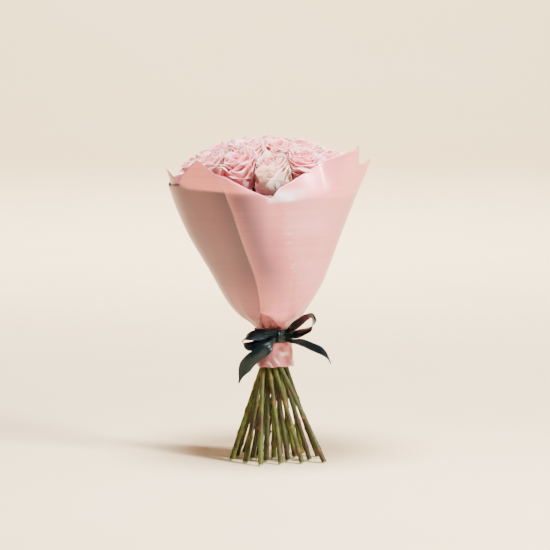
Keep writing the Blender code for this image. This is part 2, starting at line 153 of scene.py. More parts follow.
def thicken(piece, thickness):
    """Gives a sheet its thickness, half to each side."""
    solid = piece.modifiers.new("Thickness", "SOLIDIFY")
    solid.thickness = thickness
    solid.offset = 0
    apply_modifiers(piece)


def smooth(piece):
    select_only(piece)
    bpy.ops.object.shade_smooth()


def joined(name, pieces):
    """Several pieces as one, with its own name."""
    select_only(*pieces)
    if len(pieces) > 1:
        bpy.ops.object.join()
    return added(name)


def flat_grid(name, columns, rows):
    """A flat grid with that many faces each way, from -1 to 1 in X and Y, with its UV map."""
    deselect()
    bpy.ops.mesh.primitive_grid_add(x_subdivisions=columns, y_subdivisions=rows, size=2)
    return added(name)


def read_points(piece):
    flat = np.empty(len(piece.data.vertices) * 3, np.float32)
    piece.data.vertices.foreach_get("co", flat)
    return flat.reshape(-1, 3).astype(float)


def grid_shares(piece):
    """A flat grid's points as -1 to 1 across it and 0 to 1 up it."""
    flat = read_points(piece)
    return flat[:, 0], (flat[:, 1] + 1) / 2


def write_points(piece, points):
    piece.data.vertices.foreach_set("co", np.asarray(points, np.float32).ravel())
    piece.data.update()


def give_attribute(piece, name, values):
    """Stores one vector for each point."""
    layer = piece.data.attributes.new(name, "FLOAT_VECTOR", "POINT")
    layer.data.foreach_set("vector", np.asarray(values, np.float32).ravel())


def copy_of(blank, name):
    """Another piece with its own copy of the blank's mesh."""
    piece = bpy.data.objects.new(name, blank.data.copy())
    bpy.context.collection.objects.link(piece)
    return piece


def tube(name, line, radii, resolution):
    """A closed round bar through the points of a line."""
    deselect()
    bpy.ops.curve.primitive_nurbs_path_add()
    bar = added(name)
    bar.data.splines.clear()
    spline = bar.data.splines.new("POLY")
    spline.points.add(len(line) - 1)
    spline.points.foreach_set("co", np.column_stack([line, np.ones(len(line))]).ravel())
    spline.points.foreach_set("radius", radii)
    bar.data.bevel_depth, bar.data.bevel_resolution = 1, resolution
    bar.data.use_fill_caps = True
    bpy.ops.object.convert(target="MESH")
    return bpy.context.object


def edit_all(operator, **how):
    """Runs a mesh operator on the whole of the active piece."""
    bpy.ops.object.mode_set(mode="EDIT")
    bpy.ops.mesh.select_all(action="SELECT")
    operator(**how)
    bpy.ops.object.mode_set(mode="OBJECT")


def merge_seam(piece):
    """Closes a sheet that goes all the way round."""
    select_only(piece)
    edit_all(bpy.ops.mesh.remove_doubles, threshold=0.00002)


def scale_uv(piece, wide, long):
    """Stretches the UV map, so that it counts centimetres."""
    uv = piece.data.uv_layers.active.data
    flat = np.empty(len(uv) * 2, np.float32)
    uv.foreach_get("uv", flat)
    flat = flat.reshape(-1, 2) * (wide, long)
    uv.foreach_set("uv", flat.ravel())


def finish_sheet(piece, wide, long, thickness):
    """Gives a shaped grid its UV map in centimetres, its thickness and smooth shading."""
    scale_uv(piece, wide, long)
    thicken(piece, thickness)
    smooth(piece)


def hand_over(piece, material, stands_for):
    """Gives a finished piece its material and slot, hangs it on the root and hides the node it stands for."""
    piece.data.materials.clear()
    piece.data.materials.append(material)
    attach(piece, "root")
    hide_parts(stands_for)


# Curves and tables


def ease(share):
    """0 to 1 with a smooth start and end."""
    share = np.clip(share, 0, 1)
    return share * share * (3 - 2 * share)


def bell(far, width, power=2):
    """1 in the middle, fading to 0 past the width."""
    return np.exp(-((far / width) ** power))


def within(values, low, high, opening, closing):
    """1 between low and high and 0 outside, with a soft opening and closing of those lengths inside."""
    return ease((values - low) / opening) * ease((high - values) / closing)


def between(table, places):
    """Values at these places in a table of (place, value) rows, on straight lines."""
    return np.interp(places, [row[0] for row in table], [row[1] for row in table])


def curve_through(knots, values, places):
    """Values on a smooth curve through the given ones, which stand at the knots."""
    knots, values, places = np.asarray(knots), np.asarray(values, float), np.asarray(places)
    slopes = np.gradient(values, knots, axis=0)
    first = np.clip(np.searchsorted(knots, places, side="right") - 1, 0, len(knots) - 2)
    wide = knots[first + 1] - knots[first]
    t = (np.clip(places, knots[0], knots[-1]) - knots[first]) / wide
    if values.ndim > 1:
        wide, t = wide[:, None], t[:, None]
    start = (2 * t**3 - 3 * t**2 + 1) * values[first] + (t**3 - 2 * t**2 + t) * wide * slopes[first]
    end = (3 * t**2 - 2 * t**3) * values[first + 1] + (t**3 - t**2) * wide * slopes[first + 1]
    return start + end


def rounded(table, places):
    """Values at these places on a smooth curve through a table of (place, value) rows."""
    return curve_through([row[0] for row in table], [row[1] for row in table], places)


def round_line(angle, radius, z, shift=0):
    """Points at angles from the front and distances from the bunch's own line, or right of it by a shift."""
    middle = LINE_X + LEAN * z + shift
    return np.stack([middle + radius * sin(angle), LINE_Y - radius * cos(angle), z], 1)


def unit(vectors):
    return vectors / np.linalg.norm(vectors, axis=-1, keepdims=True)


def totals(steps):
    """Running totals of the steps, from 0."""
    return np.concatenate([[0], np.cumsum(steps)])


def runs_along(points):
    """How far along a line each of its points lies."""
    return totals(np.linalg.norm(np.diff(points, axis=0), axis=1))


def curled(tilt, stride):
    """How far out and up a strip runs in steps of one stride, each at its own tilt from upright."""
    return totals(sin(tilt[:-1]) * stride), totals(cos(tilt[:-1]) * stride)


# Settings


class RoseSettings(bpy.types.PropertyGroup):
    reach: bpy.props.FloatProperty(
        name="Reach", description="From a bloom's middle to its outer petals' lips, before it is pressed",
        default=0.0285, unit="LENGTH")
    petal_thickness: bpy.props.FloatProperty(
        name="Petal thickness", description="Thickness of a petal", default=0.00045, unit="LENGTH")
    heart: bpy.props.FloatVectorProperty(
        name="Heart", description="Colour of the inner petals",
        default=linear("#F04F76")[:3], subtype="COLOR")
    blush: bpy.props.FloatVectorProperty(
        name="Blush", description="Colour of the outer petals",
        default=linear("#FF94A8")[:3], subtype="COLOR")


class StemSettings(bpy.types.PropertyGroup):
    green: bpy.props.FloatVectorProperty(
        name="Green", description="Colour of the stems", default=linear("#262D0D")[:3], subtype="COLOR")


class WrapSettings(bpy.types.PropertyGroup):
    thickness: bpy.props.FloatProperty(
        name="Film thickness", description="Thickness of the wrap", default=0.00022, unit="LENGTH")
    pink: bpy.props.FloatVectorProperty(
        name="Pink", description="Colour of the wrap", default=linear("#CA7277")[:3], subtype="COLOR")


class RibbonSettings(bpy.types.PropertyGroup):
    width: bpy.props.FloatProperty(
        name="Width", description="Width of the ribbon", default=0.020, unit="LENGTH")
    thickness: bpy.props.FloatProperty(
        name="Thickness", description="Thickness of the ribbon", default=0.0005, unit="LENGTH")
    satin: bpy.props.FloatVectorProperty(
        name="Satin", description="Colour of the ribbon", default=linear("#071114")[:3], subtype="COLOR")


class StageSettings(bpy.types.PropertyGroup):
    distance: bpy.props.FloatProperty(
        name="Camera distance", description="From the camera to the bunch, level", default=4.5, unit="LENGTH")
    height: bpy.props.FloatProperty(
        name="Camera height", description="From the floor to the camera", default=0.7935, unit="LENGTH")


# Materials

# One colour over another by a factor, and one times another
MIXED = {"data_type": "RGBA"}
MULTIPLIED = {"data_type": "RGBA", "blend_type": "MULTIPLY", "Factor": 1}


def wire(tree, shader, colour, bump=None):
    """Links a colour and a bump to the shader."""
    tree.links.new(output(colour), shader.inputs["Base Color"])
    if bump:
        tree.links.new(output(bump), shader.inputs["Normal"])


def petal_material(settings):
    """Rose petal: a thin velvety skin of domed cells over pale flesh, so it is matt, glows where light
    comes through, and has fine veins that fan from the base. It is warm cream at the base, pinker towards
    the heart and paler at its lip."""
    made, tree, shader = finish(
        "rose_petal", Roughness=0.52, IOR=1.42, Subsurface_Weight=0.55, Subsurface_Scale=0.007,
        Subsurface_Radius=(1, 0.45, 0.38), Sheen_Weight=0.10, Sheen_Roughness=0.45,
        Sheen_Tint=(1, 0.93, 0.92, 1))
    # The attribute holds how far out the petal stands, how far up it the point is, and the rose's tone
    stored = (node(tree, "Attribute", attribute_name="petal"), "Vector")
    parts = node(tree, "SeparateXYZ", Vector=stored)
    colour = node(tree, "Mix", **MIXED, Factor=(parts, "X"), A=(*settings.heart, 1), B=(*settings.blush, 1))
    outwards = node(tree, "MapRange", Value=(parts, "X"), To_Min=0.15)
    cream = node(tree, "Math", outwards, (parts, "Z"), operation="MULTIPLY")
    colour = node(tree, "Mix", **MIXED, Factor=cream, A=colour, B=linear("#FFE0CA"))
    lip = [(0.60, 0), (0.92, 0.18), (1, 0.42)]
    claw = [(0.04, 0.75), (0.24, 0)]
    for stops, code in ((lip, "#FFD9D5"), (claw, "#FAE8CC")):
        share = node(tree, "ValToRGB", Fac=(parts, "Y"), stops=stops)
        colour = node(tree, "Mix", **MIXED, Factor=share, A=colour, B=linear(code))
    # Veins 0.8 mm apart on a petal 40 mm wide, drawn as stretched noise
    uv = node(tree, "UVMap")
    fanned = node(tree, "Mapping", Vector=uv, Scale=(46, 3, 1))
    veins = node(tree, "TexNoise", Vector=fanned, Scale=1, Detail=3)
    veined = node(tree, "MapRange", Value=veins, To_Min=0.93, To_Max=1.05)
    tinted = node(tree, "Mix", **MULTIPLIED, A=colour, B=veined)
    bump = node(tree, "Bump", Height=veins, Strength=0.22, Distance=0.0004)
    wire(tree, shader, tinted, bump)
    return made


def stem_material(settings):
    """Rose stem: a waxy green skin, streaked along its length, bronzed in patches, with reddish-brown
    scars where leaves and thorns came off, and pale wet pith at the cut end."""
    made, tree, shader = finish("rose_stem", Roughness=0.55, IOR=1.38, Subsurface_Weight=0.05,
                                Subsurface_Scale=0.002)
    # The attribute holds how near the point is to a scar, how near to the cut end, and the stem's tone
    stored = (node(tree, "Attribute", attribute_name="stem"), "Vector")
    parts = node(tree, "SeparateXYZ", Vector=stored)
    where = (node(tree, "TexCoord"), "Object")
    # Streaks about 1 mm wide and 20 mm long, over patches about 30 mm across
    long = node(tree, "Mapping", Vector=where, Scale=(900, 900, 45))
    streaks = node(tree, "TexNoise", Vector=long, Scale=1, Detail=3)
    patches = node(tree, "TexNoise", Vector=where, Scale=32, Detail=3)
    bronzed = node(tree, "ValToRGB", Fac=patches, stops=[(0.42, 0), (0.62, 0.85)])
    lighter = node(tree, "Mix", **MIXED, Factor=(parts, "Z"), A=(*settings.green, 1), B=linear("#5B6927"))
    warm = node(tree, "Mix", **MIXED, Factor=bronzed, A=lighter, B=linear("#362312"))
    streaked = node(tree, "MapRange", Value=streaks, From_Min=0.3, From_Max=0.7, To_Min=0.55, To_Max=1.35)
    colour = node(tree, "Mix", **MULTIPLIED, A=warm, B=streaked)
    for part, code in (("X", "#84432A"), ("Y", "#D9DDAE")):
        colour = node(tree, "Mix", **MIXED, Factor=(parts, part), A=colour, B=linear(code))
    bump = node(tree, "Bump", Height=streaks, Strength=0.35, Distance=0.0005)
    wire(tree, shader, colour, bump)
    return made


def wrap_material(settings):
    """Pearl film: thin pink polypropylene with mica in it. It lets some light through, so that it is
    a fuller pink where there is one layer alone, and its gloss runs to a cool white over faint rolled
    lines. Painted shade darkens it over the front left, along the flap's free edge and ends, and by the
    ribbon, and painted glints and highlights whiten it."""
    made, tree, shader = finish(
        "pearl_film", Roughness=0.40, IOR=1.49, Metallic=0.10, Sheen_Weight=0.12, Sheen_Roughness=0.35,
        Sheen_Tint=(0.86, 0.92, 1, 1), Coat_Weight=0.40, Coat_Roughness=0.27,
        Thin_Film_Thickness=290, Thin_Film_IOR=1.45, Alpha=0.92)
    where = (node(tree, "TexCoord"), "Object")
    cloudy = node(tree, "TexNoise", Vector=where, Scale=9)
    colour = node(tree, "ValToRGB", Fac=cloudy, stops=[
        (0.35, (*settings.pink, 1)), (0.55, linear("#D07A82")), (0.75, linear("#D88D9A"))])
    # The attribute holds the depth of layers and painted shade, whether one layer lies alone, and painted
    # glints
    stored = (node(tree, "Attribute", attribute_name="film"), "Vector")
    layers = node(tree, "SeparateXYZ", Vector=stored)
    # Darker by depth and painted shade, a fuller pink where one layer is alone, whiter by painted glints
    for part, code in (("X", "#47283A"), ("Y", "#EC858C"), ("Z", "#F0F2FF")):
        colour = node(tree, "Mix", **MIXED, Factor=(layers, part), A=colour, B=linear(code))
    # The rolled lines are drawn 4 mm apart and run level, because real ones are too fine to show
    lines = node(tree, "Mapping", Vector=where, Scale=(5, 5, 250))
    ribs = node(tree, "TexNoise", Vector=lines, Scale=1, Detail=3)
    lit = node(tree, "MapRange", Value=ribs, To_Min=0.85, To_Max=1.12)
    ribbed = node(tree, "Mix", **MULTIPLIED, A=colour, B=lit)
    grain = node(tree, "TexNoise", Vector=where, Scale=45)
    both = node(tree, "Math", ribs, 0.6, grain, operation="MULTIPLY_ADD")
    bump = node(tree, "Bump", Height=both, Strength=0.22, Distance=0.0012)
    wire(tree, shader, ribbed, bump)
    return made


def satin_material(settings):
    """Satin ribbon: long floats of polyester thread lie side by side, so it is dark with a soft bright
    band where it turns, and has a plain woven edge."""
    made, tree, shader = finish("satin_ribbon", Roughness=0.30, IOR=1.50, Specular_IOR_Level=0.25,
                                Specular_Tint=(0.72, 0.90, 1, 1), Anisotropic=0.5)
    uv = node(tree, "UVMap")
    parts = node(tree, "SeparateXYZ", Vector=uv)
    # Threads are drawn 0.5 mm apart, because real ones are too fine to show
    laid = node(tree, "Mapping", Vector=uv, Scale=(20, 1.2, 1))
    threads = node(tree, "TexNoise", Vector=laid, Scale=1)
    bump = node(tree, "Bump", Height=threads, Strength=0.18, Distance=0.0003)
    lit = node(tree, "MapRange", Value=threads, To_Min=0.8, To_Max=1.3)
    cloth = node(tree, "Mix", **MULTIPLIED, A=(*settings.satin, 1), B=lit)
    # The woven edge, 1.2 mm wide, is a little lighter
    aside = node(tree, "Math", (parts, "X"), 1, operation="SUBTRACT")
    far = node(tree, "Math", aside, operation="ABSOLUTE")
    edge = node(tree, "MapRange", Value=far, From_Min=0.86, From_Max=0.90)
    edged = node(tree, "Mix", **MIXED, Factor=edge, A=cloth, B=linear("#142026"))
    wire(tree, shader, edged, bump)
    return made


def twine_material():
    """Jute twine: coarse dull fibres twisted together, sandy with darker gaps."""
    made, tree, shader = finish("jute_twine", Roughness=0.85)
    where = (node(tree, "TexCoord"), "Object")
    # Fibres about 1.4 mm apart
    fibres = node(tree, "TexNoise", Vector=where, Scale=700, Detail=3)
    colours = node(tree, "ValToRGB", Fac=fibres, stops=[(0.35, linear("#7E6643")), (0.65, linear("#C6AC7D"))])
    bump = node(tree, "Bump", Height=fibres, Strength=0.6, Distance=0.0006)
    wire(tree, shader, colours, bump)
    return made


def studio_material():
    """Painted studio sweep: matt warm white."""
    made, tree, shader = finish("studio_paint", Roughness=0.9)
    where = (node(tree, "TexCoord"), "Object")
    mottle = node(tree, "TexNoise", Vector=where, Scale=3)
    colours = node(tree, "ValToRGB", Fac=mottle, stops=[(0.3, linear("#F3DBB2")), (0.7, linear("#F5DFB9"))])
    wire(tree, shader, colours)
    return made


# Where each rose is


def corners(name):
    """The different points of a node's mesh."""
    return np.unique(np.round(read_points(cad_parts[name]), 6), axis=0)


def rose_places():
    """Each rose's foot, bend, seat, facing and height, read from its solids, and where its lip is."""
    calyx_sides, top_length, seat_gap, ring_slack, widest_share = 10, 0.02, 0.0003, 0.004, 0.66
    places = []
    for number in range(1, 1 + sum(name.startswith("bloom_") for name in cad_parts)):
        petals, stalk = corners(f"bloom_{number:02d}"), corners(f"stem_{number:02d}")
        top = stalk[stalk[:, 2] > stalk[:, 2].max() - top_length].mean(axis=0)
        way = unit(petals.mean(axis=0) - top)
        ring = stalk[np.argsort(stalk @ way)[-calyx_sides:]]
        middle = ring.mean(axis=0)
        axis = np.linalg.svd(ring - middle)[2][2]
        axis = axis if axis @ way > 0 else -axis
        foot = stalk[stalk[:, 2] < 1e-5]
        bend = stalk[np.abs(stalk[:, 2] - BEND_Z) < ring_slack]
        base = middle + seat_gap * axis
        height = ((petals - base) @ axis).max()
        places.append(SimpleNamespace(
            number=number, axis=axis, base=base, height=height, foot=foot.mean(axis=0),
            bend=bend.mean(axis=0), lip=base + widest_share * height * axis,
            radius=np.linalg.norm(foot - foot.mean(axis=0), axis=1).min()))
    return places


PLACES = rose_places()
# The V stands a little left of the middle. The rose at its foot is less open than the others and paler
V_MIDDLE = -0.010
FRONT_ROSE = min(PLACES, key=lambda place: place.lip[1] + abs(place.lip[0] - V_MIDDLE)).number
FRONT_ROSE_LOOKS = (0.55, 0.95)


def across(axis):
    """Two unit vectors square to the axis and to each other."""
    side = unit(np.cross(axis, (0, 1, 0)))
    return side, np.cross(axis, side)


# The petals, from the heart out: how many, their cup's reach and their top's height as shares of the
# bloom's, half their width in degrees, their lip's length, how far it curls in degrees, their lapping,
# and how far the sides of the lip roll back
PETAL_LAYERS = (
    (3, 0.09, 1, 105, 0.004, 5, 0.25, 0),
    (3, 0.18, 1, 92, 0.006, 14, 0.20, 0),
    (4, 0.30, 0.995, 78, 0.009, 28, 0.15, 0.0006),
    (4, 0.43, 0.985, 68, 0.012, 42, 0.12, 0.0014),
    (5, 0.56, 0.965, 62, 0.015, 60, 0.10, 0.0026),
    (5, 0.70, 0.93, 58, 0.018, 82, 0.09, 0.0040),
    (5, 0.84, 0.84, 58, 0.021, 104, 0.08, 0.0055),
    (4, 0.86, 0.62, 64, 0.017, 66, 0.08, 0.0040),
)
PETAL_COLUMNS, PETAL_ROWS = 14, 16


def petal_points(u, v, rng, turn, cup, top, spread, lip, curl, lapping, roll, ruffle):
    """A petal's points about +Z: a bowl that rises from the seat and a lip that curls back over it."""
    seat, bowl_share, droop, point, lip_end = 0.003, 0.64, 0.34, 0.09, 1.25
    v = 1 - (1 - v) ** 1.35
    up = v * (1 - droop * np.abs(u) ** 2.4 + point * bell(u, 0.22))
    turn_up = pi / 2 * np.clip(up / bowl_share, 0, 1)
    past = np.clip((up - bowl_share) / (1 - bowl_share), 0, lip_end)
    steps = np.linspace(0, lip_end, 60)
    outs, rises = curled(curl * steps**1.5, lip * steps[1])
    bowl = top - rises[steps <= 1].max()
    reach = seat + (cup - seat) * sin(turn_up) ** (0.80 - 14 * cup) + np.interp(past, steps, outs)
    high = bowl * (1 - cos(turn_up)) + np.interp(past, steps, rises)
    reach = reach * (1 - lapping * u * ease(up / 0.3))
    rolled = roll * np.abs(u) ** 2.5 * ease((up - 0.35) / 0.3)
    reach, high = reach + rolled, high - 0.5 * rolled
    first, second, third = rng.uniform(0, tau, 3)
    wave = ruffle * ease((up - 0.42) / 0.5)
    reach = reach + wave * (sin(2.9 * u + first) + 0.55 * sin(6.7 * u + second))
    high = high + 0.9 * wave * sin(4.1 * u + third)
    angle = turn + u * spread * (0.30 + 0.70 * ease(up / 0.5))
    return np.stack([reach * cos(angle), reach * sin(angle), high], 1)


def pressed(points, place):
    """Bends the points that reach past half way to a neighbouring bloom back to their own side."""
    softness, near = 0.006, 0.066
    for other in PLACES:
        gap = other.lip - place.lip
        apart = np.linalg.norm(gap)
        if other is place or apart > near:
            continue
        way = gap / apart
        past = (points - place.lip) @ way - (apart / 2 - softness)
        kept = softness * (1 - np.exp(-np.maximum(past, 0) / softness))
        points = points - np.where(past > 0, past - kept, 0)[:, None] * way
    return points


def rose_bloom(place, blank, settings):
    """One rose of thirty-three separate petals."""
    rng = np.random.default_rng(place.number)
    opened, tone = rng.uniform(0.65, 1.15), rng.uniform(0, 0.6)
    if place.number == FRONT_ROSE:
        opened, tone = FRONT_ROSE_LOOKS
    side, other = across(place.axis)
    turn, golden, stray = rng.uniform(0, tau), radians(137.5), 0.16
    u, v = grid_shares(blank)
    petals = []
    for layer, (count, cup, top, spread, lip, curl, lapping, roll) in enumerate(PETAL_LAYERS):
        turn, ruffle = turn + golden, 0.0005 + 0.0029 * cup
        for k in range(count):
            local = petal_points(
                u, v, rng, turn + tau * k / count + rng.uniform(-stray, stray),
                settings.reach * cup * rng.uniform(0.93, 1.07),
                place.height * top * rng.uniform(0.95, 1.035),
                radians(spread * rng.uniform(0.88, 1.12)), lip * rng.uniform(0.8, 1.15),
                radians(curl * opened * rng.uniform(0.7, 1.25)), lapping, roll * rng.uniform(0.3, 1.4),
                ruffle)
            world = place.base + local @ np.array([side, other, place.axis])
            petal = copy_of(blank, "petal")
            write_points(petal, pressed(world, place))
            depth = layer / (len(PETAL_LAYERS) - 1)
            shade = np.full(len(v), np.clip(depth + rng.uniform(-0.15, 0.15), 0, 1))
            give_attribute(petal, "petal", np.stack([shade, v, np.full(len(v), tone)], 1))
            petals.append(petal)
    made = joined(f"rose_bloom_{place.number:02d}", petals)
    thicken(made, settings.petal_thickness)
    smooth(made)
    return made


# Stems

HIP_SWELL = 0.0026
SCAR_REACH = 0.0021
# Half of a dried bud at a leaf scar, across the stem, along it and out of it
BUD_HALF = np.array([[0.0017], [0.0012], [0.0011]])
# A sepal's half width and thickness, and the length and droop of the one that clings to the front rose
SEPAL_HALF, SEPAL_THICKNESS = 0.0032, 0.0005
CLINGING_SEPAL = (0.041, -1.35)


def stem_line(place, spacing):
    """Points along a stem, from just under its foot to its seat, with a soft bend where it turns."""
    below_floor, below_seat, neck_length = 0.006, 0.004, 0.022
    rise = place.bend - place.foot
    start = place.foot - below_floor * unit(rise)
    neck, end = [place.base - short * place.axis for short in (neck_length, below_seat)]
    knots = [start, place.foot + 0.5 * rise, place.bend, neck, end]
    runs = runs_along(knots)
    places = np.linspace(0, runs[-1], int(runs[-1] / spacing))
    return curve_through(runs, knots, places), places


def rose_stem(place, sepal_blank, bud_blank):
    """A stem with joints, leaf scars, its hip and five sepals, cut level at the floor."""
    rng = np.random.default_rng(100 + place.number)
    spacing, joint_step, last_joint = 0.0045, (0.034, 0.058), 0.38
    joint_swell, joint_length, bud_seat = 0.30, 0.0034, 0.88
    line, runs = stem_line(place, spacing)
    joints = [rng.uniform(0.024, 0.055)]
    while joints[-1] < last_joint:
        joints.append(joints[-1] + rng.uniform(*joint_step))
    thicker_below, taper = 0.15 * ease((0.12 - line[:, 2]) / 0.10), 0.22 * runs / runs[-1]
    radii = place.radius * (1.03 + thicker_below) * (1 - taper)
    for joint in joints:
        radii = radii * (1 + joint_swell * bell(runs - joint, joint_length))
    radii = radii + HIP_SWELL * bell(runs - runs[-1] + 0.001, 0.006)
    side, other = across(unit(place.bend - place.foot))
    visible = np.clip(line[:, 2] / COLLAR_Z, 0, 1)
    bow = rng.uniform(-0.0012, 0.0012, 2)
    line = line + sin(pi * visible)[:, None] * (bow[0] * side + bow[1] * other)
    stalk = tube("stalk", line, radii, 4)
    edit_all(bpy.ops.mesh.bisect, plane_co=(0, 0, 0), plane_no=(0, 0, 1), use_fill=True, clear_inner=True)
    marks, scars = [stalk], []
    for joint in joints:
        at = int(np.argmin(np.abs(runs - joint)))
        ahead = unit(line[min(at + 1, len(line) - 1)] - line[at - 1])
        side, other = across(ahead)
        angle = rng.uniform(0, tau)
        out = cos(angle) * side + sin(angle) * other
        centre = line[at] + bud_seat * radii[at] * out
        scars.append(centre + 0.1 * radii[at] * out)
        bud = copy_of(bud_blank, "bud")
        shape = np.array([np.cross(out, ahead), ahead, out]) * BUD_HALF
        write_points(bud, centre + read_points(bud_blank) @ shape)
        marks.append(bud)
    side, other = across(place.axis)
    turn = rng.uniform(0, tau)
    for k in range(5):
        marks.append(sepal(place, sepal_blank, turn + tau * k / 5, side, other, rng))
    if place.number == FRONT_ROSE:
        front = atan2(-other[1], -side[1])
        marks.append(sepal(place, sepal_blank, front + 0.1, side, other, rng, clinging=True))
    made = joined(f"rose_stem_{place.number:02d}", marks)
    points = read_points(made)
    scar = sum(bell(np.linalg.norm(points - centre, axis=1), SCAR_REACH) for centre in scars)
    cut = points[:, 2] < 2e-4
    tone = np.full(len(points), rng.uniform(0, 1) ** 1.5)
    give_attribute(made, "stem", np.stack([np.minimum(scar, 1), cut, tone], 1))
    smooth(made)
    bpy.ops.object.shade_smooth_by_angle(angle=radians(50))
    return made


def sepal(place, blank, turn, side, other, rng, clinging=False):
    """One narrow pointed sepal, which arches out under the bloom and hangs, or clings to its petals."""
    u, v = grid_shares(blank)
    length, droop = rng.uniform(0.017, 0.024), rng.uniform(1.5, 2.6)
    from_axis, above_seat, cupped = 0.0036, -0.0016, 0.10
    steps = np.linspace(0, 1, 40)
    if clinging:
        length, droop = CLINGING_SEPAL
    outs, rises = curled(1.0 + droop * steps + 0.35 * clinging, length * steps[1])
    half = SEPAL_HALF * (1 - v) ** 0.8 * (0.65 + 0.35 * sin(pi * np.clip(v * 1.6, 0, 1)))
    out = from_axis + np.interp(v, steps, outs)
    up = above_seat + np.interp(v, steps, rises) + cupped * half * u**2
    spoke = cos(turn) * side + sin(turn) * other
    piece = copy_of(blank, "sepal")
    write_points(piece, place.base + np.stack([out, up, u * half], 1) @ np.array(
        [spoke, place.axis, np.cross(place.axis, spoke)]))
    thicken(piece, SEPAL_THICKNESS)
    return piece


# The wrap

# The outer sheet's radius at each height: a flared collar, the neck under the ribbon, a full shoulder and
# then a nearly straight cone
NECK_RADIUS = BAND_RADIUS - 0.00348
RADII = (
    (COLLAR_Z, NECK_RADIUS + 0.0011), (0.162, NECK_RADIUS + 0.0004), (NECK_BOTTOM, NECK_RADIUS),
    (NECK_TOP - 0.003, NECK_RADIUS), (0.208, 0.034), (0.218, 0.046), (0.231, 0.057), (0.258, 0.074),
    (0.292, 0.090), (0.347, 0.1155), (0.396, 0.1355), (0.445, 0.1525), (0.490, 0.164),
)
# How far the sheets' middle lies to the right of the bunch's own line, at each height
WRAP_SHIFT = (
    (0.140, 0), (0.201, 0), (0.218, -0.0035), (0.273, -0.003), (0.347, -0.008), (0.396, -0.007),
    (0.445, -0.003), (0.490, -0.001),
)
# Each sheet's top edge: degrees from the front towards the right, and height
OUTER_EDGE = (
    (-180, 0.424), (-140, 0.436), (-110, 0.420), (-86, 0.414), (-58, 0.421), (-55, 0.433), (-39, 0.462),
    (-29, 0.441), (-22, 0.437), (-8, 0.419), (5, 0.406), (10, 0.421), (19, 0.432), (29, 0.445), (39, 0.455),
    (50, 0.467), (60, 0.481), (66, 0.452), (74, 0.448), (84, 0.456), (92, 0.446), (120, 0.430), (150, 0.440),
    (180, 0.424),
)
INNER_EDGE = (
    (-180, 0.418), (-130, 0.428), (-105, 0.424), (-81, 0.445), (-70, 0.437), (-61, 0.424), (-52, 0.416),
    (-23, 0.413), (-8, 0.412), (6, 0.410), (20, 0.404), (70, 0.400), (110, 0.415), (150, 0.408),
    (180, 0.418),
)
# The outer sheet's free edge at the front: height, and degrees from the front
FREE_EDGE = (
    (0.143, -10), (0.1965, -4), (0.199, 38), (0.203, 22), (0.208, 10), (0.215, 4.5), (0.2205, 1),
    (0.2255, -5), (0.229, -12.5), (0.237, -14.5), (0.249, -14), (0.289, -15), (0.335, -17), (0.381, -20),
    (0.418, -25), (0.445, -31),
)
# How far round its other end runs under it, which leaves an arched notch above the ribbon
FAR_END = (
    (0.143, 354), (0.1965, 354), (0.199, 327), (0.207, 335), (0.2145, 341), (0.2205, 344.5), (0.226, 347),
    (0.231, 354),
)
# Where the outer sheet's rim bends in towards the roses beside the V: degrees from the front, and height
RIM_BEND = ((-20, 0.425), (-6, 0.405), (4, 0.397), (20, 0.399), (40, 0.404), (62, 0.425), (75, 0.445))
# The broken line of painted pearl glints down the front, along the edge of a layer: height, and degrees from
# the front
PEARL_LINE = ((0.26, 27), (0.29, 25), (0.40, 12.5))
# Folds, of which the photo shows those in front: a line of (height, degrees from the front), its width
# and its rise, below 0 for a furrow
FOLDS = (
    (((0.228, -20), (0.249, -20), (0.289, -22), (0.335, -24.5), (0.381, -28), (0.425, -34)), 0.021, -0.0085),
    (((0.236, 3.5), (0.300, 6), (0.350, 7), (0.410, 8)), 0.012, -0.0020),
    (((0.228, 40), (0.246, 54), (0.262, 68)), 0.0045, -0.0048),
    (((0.242, 30), (0.262, 46), (0.280, 60)), 0.0045, -0.0036),
    (((0.212, -62), (0.232, -52), (0.256, -40)), 0.009, 0.0032),
    (((0.222, -40), (0.262, -46), (0.320, -50)), 0.010, -0.0024),
    (((0.206, 30), (0.222, 24), (0.250, 20)), 0.010, 0.0030),
    (((0.212, 118), (0.260, 112), (0.330, 108), (0.425, 106)), 0.012, -0.0042),
    (((0.212, 160), (0.270, 166), (0.345, 169)), 0.011, 0.0046),
    (((0.212, -150), (0.262, -156), (0.340, -160), (0.420, -162)), 0.012, -0.0046),
    (((0.212, -108), (0.270, -112), (0.350, -114)), 0.011, 0.0038),
)


def pleats(angle, z):
    """The gathers that the ribbon makes, deepest just above and below it, as a move in or out. They are
    shallower at the front, where the film stands in one smooth puff."""
    deep, tight, crinkled, twist = 0.0028, 0.0002, 0.0005, 0.0009
    wander = angle + 0.13 * sin(3 * angle + 1.1) + 0.06 * sin(7 * angle)
    sharp = np.abs(sin(6.5 * wander)) ** 0.8 - 0.6
    calm = 1 - 0.65 * bell((angle + pi) % tau - pi, 1.3, 4)
    length = 0.075 + 0.05 * (cos(angle) < 0) * cos(angle) ** 2
    above = calm * ease((z - 0.199) / 0.012) * (1 - ease((z - 0.210) / length))
    held = 1 - ease(np.abs(z - 0.189) / 0.02)
    up = z - COLLAR_Z
    twisted = sin(5 * angle + 110 * up) + 0.7 * sin(8 * angle - 140 * up + 1)
    return ((deep * above + tight * held) * sharp + crinkled * above * sin(26 * wander + 2)
            + twist * ease((0.184 - z) / 0.012) * twisted)


def drapes(angle, z):
    """The broad shallow folds of the cone, and the waves of its rim."""
    broad = sin(4 * angle + 0.8) + 0.7 * sin(7 * angle - 9 * z)
    rim = ease((z - 0.39) / 0.07) * sin(11 * angle + 22 * z)
    fold, wave = 0.0017, 0.0014
    return fold * ease((z - 0.225) / 0.12) * broad + wave * rim


def notch(angle, z):
    """How near a point is to the middle of the arched notch above the ribbon."""
    left, height, half_width, half_height = radians(5), 0.2125, 0.011, 0.0095
    aside = 0.042 * sin(angle + left)
    return bell(aside, half_width) * bell(z - height, half_height) * (cos(angle) > 0)


